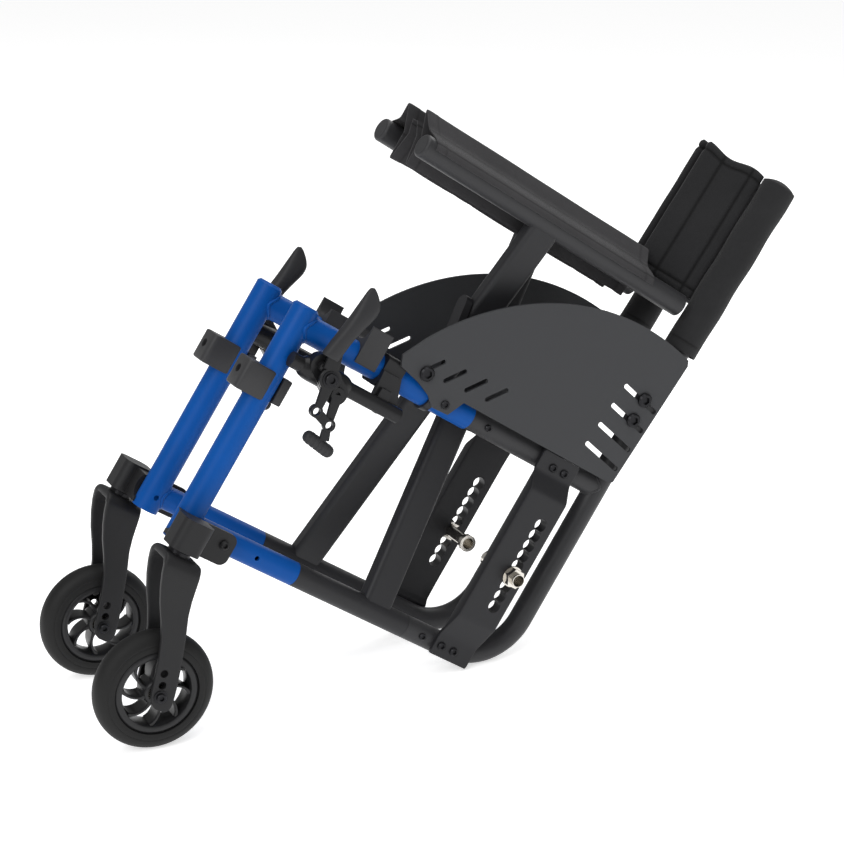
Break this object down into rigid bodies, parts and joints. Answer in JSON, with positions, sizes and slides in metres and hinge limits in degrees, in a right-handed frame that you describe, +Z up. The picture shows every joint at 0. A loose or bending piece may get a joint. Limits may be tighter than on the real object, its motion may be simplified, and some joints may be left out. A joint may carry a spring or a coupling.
{
  "type": "folding manual wheelchair",
  "caption": "Folding manual wheelchair with cross-brace, sling seat and back, swivel casters, wheel locks and side guards, folded flat with the rear wheels off.",
  "frame": {"origin": "on the floor, at the centre of the footprint's box, with the folded chair tipped back on its casters and rear frame bends", "axes": "+X towards the front of the chair, +Y to the user's left, +Z up"},
  "size_m": [0.8364, 0.248, 0.6006],
  "materials": {
    "blue_frame": "satin metallic blue",
    "black_frame": "satin black powder coat",
    "grey_guard": "fine-textured charcoal sheet",
    "bright_nickel": "bright nickel plate",
    "black_screw": "black oxide",
    "black_nylon": "moulded glass-filled nylon",
    "black_fork": "matt black powder coat",
    "caster_rubber": "smooth black rubber",
    "hub_plastic": "black nylon",
    "grip_rubber": "soft dark grey grip",
    "black_cloth": "woven black nylon"
  },
  "bodies": {
    "left_frame": {"left_front_frame": "blue_frame", "left_top_tube": "blue_frame", "left_rear_top_tube": "black_frame", "left_rear_frame_tube": "black_frame", "left_back_post": "black_frame", "left_post_sleeve": "black_cloth", "left_axle_plate": "black_frame", "left_axle_receiver": "bright_nickel", "left_side_guard": "grey_guard", "left_fasteners": "black_screw", "left_tube_clamps": "black_nylon", "left_lock_mount": "black_frame", "left_caster_housing": "black_fork"},
    "right_frame": {"right_front_frame": "blue_frame", "right_top_tube": "blue_frame", "right_rear_top_tube": "black_frame", "right_rear_frame_tube": "black_frame", "right_back_post": "black_frame", "right_post_sleeve": "black_cloth", "right_axle_plate": "black_frame", "right_axle_receiver": "bright_nickel", "right_side_guard": "grey_guard", "right_fasteners": "black_screw", "right_tube_clamps": "black_nylon", "right_lock_mount": "black_frame", "right_caster_housing": "black_fork"},
    "rear_brace": {"left_brace_arm": "black_frame", "right_seat_rail": "black_frame"},
    "front_brace": {"right_brace_arm": "black_frame", "left_seat_rail": "black_frame", "cross_bolt": "black_screw"},
    "left_fold_link": {"left_fold_link": "black_frame"},
    "left_seat_outer": {"left_seat_outer": "black_cloth"},
    "left_seat_middle": {"left_seat_middle": "black_cloth"},
    "left_seat_inner": {"left_seat_inner": "black_cloth"},
    "left_back_outer": {"left_back_outer": "black_cloth"},
    "left_back_inner": {"left_back_inner": "black_cloth"},
    "left_caster": {"left_caster_fork": "black_fork", "left_caster_axle": "black_screw"},
    "left_caster_wheel": {"left_caster_tyre": "caster_rubber", "left_caster_hub": "hub_plastic"},
    "left_lock_lever": {"left_lock_lever": "black_frame", "left_lock_grip": "grip_rubber"},
    "left_lock_link": {"left_lock_link": "black_frame"},
    "left_pad_arm": {"left_pad_arm": "black_frame"},
    "right_fold_link": {"right_fold_link": "black_frame"},
    "right_seat_outer": {"right_seat_outer": "black_cloth"},
    "right_seat_middle": {"right_seat_middle": "black_cloth"},
    "right_seat_inner": {"right_seat_inner": "black_cloth"},
    "right_back_outer": {"right_back_outer": "black_cloth"},
    "right_back_inner": {"right_back_inner": "black_cloth"},
    "right_caster": {"right_caster_fork": "black_fork", "right_caster_axle": "black_screw"},
    "right_caster_wheel": {"right_caster_tyre": "caster_rubber", "right_caster_hub": "hub_plastic"},
    "right_lock_lever": {"right_lock_lever": "black_frame", "right_lock_grip": "grip_rubber"},
    "right_lock_link": {"right_lock_link": "black_frame"},
    "right_pad_arm": {"right_pad_arm": "black_frame"}
  },
  "joints": [
    {"name": "fold", "type": "hinge", "parent": "left_frame", "child": "rear_brace", "pos_m": [0.0229, 0.05, 0.03351], "axis": [0.8384, 0, 0.5451], "range_deg": [0, 42.6]},
    {"name": "brace_cross", "type": "hinge", "parent": "rear_brace", "child": "front_brace", "pos_m": [-0.09847, 0, 0.22017], "axis": [0.8384, 0, 0.5451], "range_deg": [-85.2, 0]},
    {"name": "right_frame_pivot", "type": "hinge", "parent": "front_brace", "child": "right_frame", "pos_m": [0.0229, -0.05, 0.03351], "axis": [0.8384, 0, 0.5451], "range_deg": [0, 42.6]},
    {"name": "left_link_turn", "type": "hinge", "parent": "left_frame", "child": "left_fold_link", "pos_m": [-0.10209, 0.05, 0.22575], "axis": [0.8384, 0, 0.5451], "range_deg": [0, 96.23]},
    {"name": "left_seat_edge", "type": "hinge", "parent": "front_brace", "child": "left_seat_outer", "pos_m": [-0.21984, 0.05, 0.40683], "axis": [0.8384, 0, 0.5451], "range_deg": [0, 94.89]},
    {"name": "left_seat_ridge", "type": "hinge", "parent": "left_seat_outer", "child": "left_seat_middle", "pos_m": [-0.24058, 0.0209, 0.43873], "axis": [0.8384, 0, 0.5451], "range_deg": [-117.09, 0]},
    {"name": "left_seat_crease", "type": "hinge", "parent": "left_seat_middle", "child": "left_seat_inner", "pos_m": [-0.19746, 0.02187, 0.37242], "axis": [0.8384, 0, 0.5451], "range_deg": [0, 114]},
    {"name": "left_back_edge", "type": "hinge", "parent": "left_frame", "child": "left_back_outer", "pos_m": [-0.35249, 0.05, 0.43961], "axis": [-0.5764, 0, 0.8172], "range_deg": [-36.73, 0]},
    {"name": "left_back_ridge", "type": "hinge", "parent": "left_back_outer", "child": "left_back_inner", "pos_m": [-0.28605, 0.0061, 0.48647], "axis": [-0.5764, 0, 0.8172], "range_deg": [0, 100.53]},
    {"name": "left_caster_swivel", "type": "hinge", "parent": "left_frame", "child": "left_caster", "pos_m": [0.31822, 0.095, 0.21038], "axis": [-0.5451, 0, 0.8384], "continuous": true},
    {"name": "left_caster_spin", "type": "hinge", "parent": "left_caster", "child": "left_caster_wheel", "pos_m": [0.35569, 0.095, 0.0625], "axis": [0, 1, 0], "continuous": true},
    {"name": "left_wheel_lock", "type": "hinge", "parent": "left_frame", "child": "left_lock_lever", "pos_m": [0.16585, 0.0949, 0.37134], "axis": [0, 1, 0], "range_deg": [0, 35]},
    {"name": "left_pad_turn", "type": "hinge", "parent": "left_frame", "child": "left_pad_arm", "pos_m": [0.15051, 0.0949, 0.33989], "axis": [0, 1, 0], "range_deg": [0, 51.95]},
    {"name": "left_lock_link_turn", "type": "hinge", "parent": "left_lock_lever", "child": "left_lock_link", "pos_m": [0.17617, 0.0949, 0.32795], "axis": [0, 1, 0], "range_deg": [-31.89, 0]},
    {"name": "right_link_turn", "type": "hinge", "parent": "right_frame", "child": "right_fold_link", "pos_m": [-0.10209, -0.05, 0.22575], "axis": [0.8384, 0, 0.5451], "range_deg": [-96.23, 0]},
    {"name": "right_seat_edge", "type": "hinge", "parent": "rear_brace", "child": "right_seat_outer", "pos_m": [-0.21984, -0.05, 0.40683], "axis": [0.8384, 0, 0.5451], "range_deg": [-94.89, 0]},
    {"name": "right_seat_ridge", "type": "hinge", "parent": "right_seat_outer", "child": "right_seat_middle", "pos_m": [-0.24058, -0.0209, 0.43873], "axis": [0.8384, 0, 0.5451], "range_deg": [0, 117.09]},
    {"name": "right_seat_crease", "type": "hinge", "parent": "right_seat_middle", "child": "right_seat_inner", "pos_m": [-0.19746, -0.02187, 0.37242], "axis": [0.8384, 0, 0.5451], "range_deg": [-114, 0]},
    {"name": "right_back_edge", "type": "hinge", "parent": "right_frame", "child": "right_back_outer", "pos_m": [-0.35249, -0.05, 0.43961], "axis": [-0.5764, 0, 0.8172], "range_deg": [0, 36.73]},
    {"name": "right_back_ridge", "type": "hinge", "parent": "right_back_outer", "child": "right_back_inner", "pos_m": [-0.28605, -0.0061, 0.48647], "axis": [-0.5764, 0, 0.8172], "range_deg": [-100.53, 0]},
    {"name": "right_caster_swivel", "type": "hinge", "parent": "right_frame", "child": "right_caster", "pos_m": [0.31822, -0.095, 0.21038], "axis": [-0.5451, 0, 0.8384], "continuous": true},
    {"name": "right_caster_spin", "type": "hinge", "parent": "right_caster", "child": "right_caster_wheel", "pos_m": [0.35569, -0.095, 0.0625], "axis": [0, 1, 0], "continuous": true},
    {"name": "right_wheel_lock", "type": "hinge", "parent": "right_frame", "child": "right_lock_lever", "pos_m": [0.16585, -0.0949, 0.37134], "axis": [0, 1, 0], "range_deg": [0, 35]},
    {"name": "right_pad_turn", "type": "hinge", "parent": "right_frame", "child": "right_pad_arm", "pos_m": [0.15051, -0.0949, 0.33989], "axis": [0, 1, 0], "range_deg": [0, 51.95]},
    {"name": "right_lock_link_turn", "type": "hinge", "parent": "right_lock_lever", "child": "right_lock_link", "pos_m": [0.17617, -0.0949, 0.32795], "axis": [0, 1, 0], "range_deg": [-31.89, 0]}
  ],
  "couplings": [
    {"joint": "brace_cross", "follows": "fold", "ratio": -2},
    {"joint": "right_frame_pivot", "follows": "fold", "ratio": 1},
    {"joint": "left_link_turn", "follows": "fold", "ratio": 2.2588},
    {"joint": "left_seat_edge", "follows": "fold", "ratio": 2.2275},
    {"joint": "left_seat_ridge", "follows": "fold", "ratio": -2.7486},
    {"joint": "left_seat_crease", "follows": "fold", "ratio": 2.6761},
    {"joint": "left_back_edge", "follows": "fold", "ratio": -0.8623},
    {"joint": "left_back_ridge", "follows": "fold", "ratio": 2.36},
    {"joint": "left_pad_turn", "follows": "left_wheel_lock", "ratio": 1.4841},
    {"joint": "left_lock_link_turn", "follows": "left_wheel_lock", "ratio": -0.91119},
    {"joint": "right_link_turn", "follows": "fold", "ratio": -2.2588},
    {"joint": "right_seat_edge", "follows": "fold", "ratio": -2.2275},
    {"joint": "right_seat_ridge", "follows": "fold", "ratio": 2.7486},
    {"joint": "right_seat_crease", "follows": "fold", "ratio": -2.6761},
    {"joint": "right_back_edge", "follows": "fold", "ratio": 0.8623},
    {"joint": "right_back_ridge", "follows": "fold", "ratio": -2.36},
    {"joint": "right_pad_turn", "follows": "right_wheel_lock", "ratio": 1.4841},
    {"joint": "right_lock_link_turn", "follows": "right_wheel_lock", "ratio": -0.91119}
  ]
}
